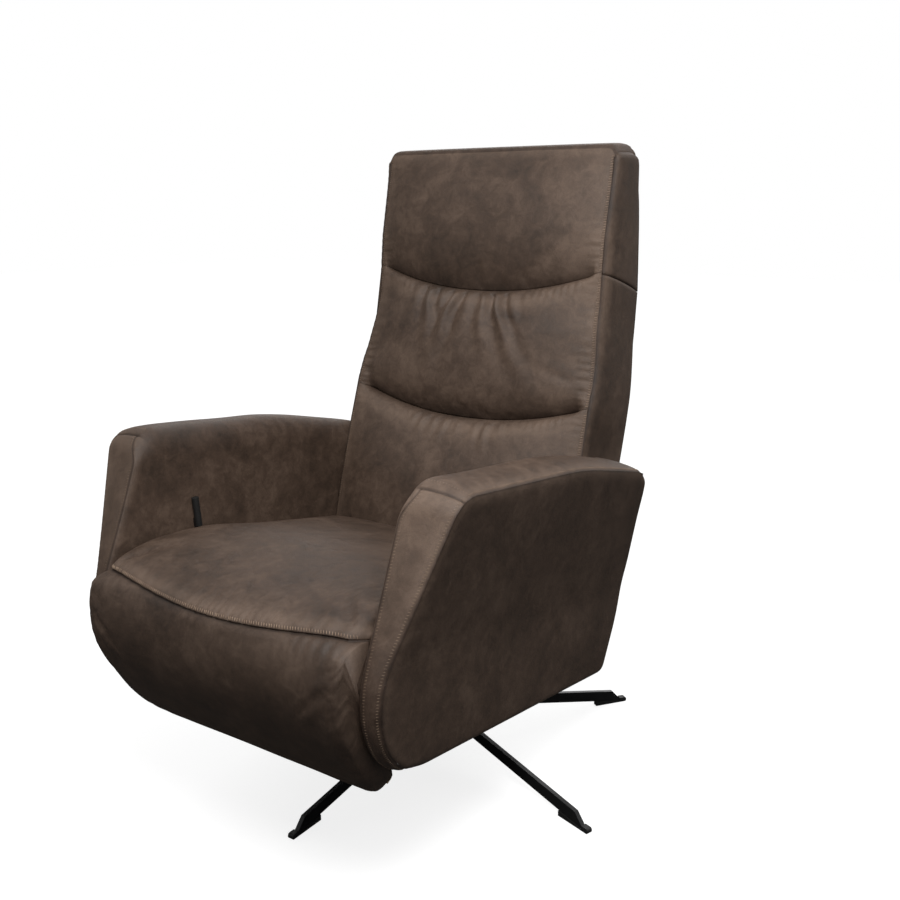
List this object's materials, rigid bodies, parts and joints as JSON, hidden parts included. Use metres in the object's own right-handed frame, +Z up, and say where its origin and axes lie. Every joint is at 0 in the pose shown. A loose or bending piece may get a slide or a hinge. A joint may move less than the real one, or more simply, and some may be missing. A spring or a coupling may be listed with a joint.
{
  "type": "swivel recliner armchair",
  "caption": "Leather swivel recliner with a star base, padded arms, a sliding seat, a swing-up leg rest, a reclining back and a folding headrest.",
  "frame": {"origin": "middle of the footprint on the floor; the swivel axis is 125 mm behind it", "axes": "+Z up, the chair faces -Y, the sitter's right arm is on -X"},
  "size_m": [0.8022, 0.9356, 1.1205],
  "materials": {
    "leather_over_foam": "matt brown leather over foam",
    "leather_skin": "matt brown leather",
    "plywood": "raw birch plywood",
    "nylon": "moulded, matt",
    "bright_steel": "zinc plated",
    "black_steel": "satin black powder coat",
    "lever_grip": "moulded, matt"
  },
  "bodies": {
    "base": {"base_hub": "black_steel", "column_tube": "black_steel", "lower_bush": "nylon", "upper_bush": "nylon", "leg_1": "black_steel", "leg_2": "black_steel", "leg_3": "black_steel", "leg_4": "black_steel", "leg_5": "black_steel", "floor_glides": "nylon"},
    "carriage": {"swivel_spindle": "black_steel", "tilt_bracket_left": "black_steel", "tilt_bracket_right": "black_steel", "rail_left": "black_steel", "rail_right": "black_steel", "cross_tube_front": "black_steel", "cross_tube_rear": "black_steel", "guide_bar_left": "bright_steel", "guide_bar_right": "bright_steel", "pivot_bracket_left": "black_steel", "pivot_bracket_right": "black_steel", "back_pivot_pins": "bright_steel", "arm_panel_left": "plywood", "arm_panel_right": "plywood", "arm_inner_cover_left": "leather_skin", "arm_inner_cover_right": "leather_skin", "arm_outer_cover_left": "leather_over_foam", "arm_outer_cover_right": "leather_over_foam", "arm_top_pad_left": "leather_over_foam", "arm_top_pad_right": "leather_over_foam", "arm_front_pad_left": "leather_over_foam", "arm_front_pad_right": "leather_over_foam", "arm_bolts": "bright_steel", "lever_pin": "bright_steel", "gas_spring_cylinder": "black_steel"},
    "seat": {"seat_board": "plywood", "seat_gliders": "nylon", "seat_cushion": "leather_over_foam", "gas_spring_rod": "bright_steel", "leg_rest_brackets": "black_steel"},
    "leg_rest": {"leg_rest_board": "plywood", "leg_rest_ears": "black_steel", "leg_rest_cushion": "leather_over_foam"},
    "back": {"back_board": "plywood", "back_hinge_plates": "black_steel", "lumbar_cushion": "leather_over_foam", "shoulder_cushion": "leather_over_foam", "back_side_panel_left": "leather_skin", "back_side_panel_right": "leather_skin", "back_rear_cover": "leather_over_foam", "headrest_fittings": "black_steel"},
    "headrest": {"headrest_board": "plywood", "headrest_hinge_plates": "black_steel", "headrest_cushion": "leather_over_foam", "headrest_side_left": "leather_skin", "headrest_side_right": "leather_skin", "headrest_rear_cover": "leather_over_foam"},
    "release_lever": {"release_lever": "black_steel", "lever_grip": "lever_grip"}
  },
  "joints": [
    {"name": "swivel", "type": "hinge", "parent": "base", "child": "carriage", "pos_m": [0, 0.125, 0.1], "axis": [0, 0, 1], "continuous": true},
    {"name": "recline", "type": "hinge", "parent": "carriage", "child": "back", "pos_m": [0, 0.24995, 0.34502], "axis": [-1, 0, 0], "range_deg": [0, 32]},
    {"name": "seat_slide", "type": "slide", "parent": "carriage", "child": "seat", "axis": [0, -0.9898, 0.1426], "range_m": [0, 0.06]},
    {"name": "leg_rest_swing", "type": "hinge", "parent": "seat", "child": "leg_rest", "pos_m": [0, -0.4412, 0.43552], "axis": [-1, 0, 0], "range_deg": [0, 105]},
    {"name": "headrest_fold", "type": "hinge", "parent": "back", "child": "headrest", "pos_m": [0, 0.29355, 0.85902], "axis": [1, 0, 0], "range_deg": [0, 35]},
    {"name": "lever_pull", "type": "hinge", "parent": "carriage", "child": "release_lever", "pos_m": [0, -0.21471, 0.38066], "axis": [-1, 0, 0], "range_deg": [0, 18], "stiffness_Nm_per_rad": 0.8, "springref_deg": -11.46}
  ],
  "couplings": [
    {"joint": "seat_slide", "follows": "recline", "m_per_rad": 0.1074},
    {"joint": "leg_rest_swing", "follows": "recline", "ratio": 3.28}
  ]
}
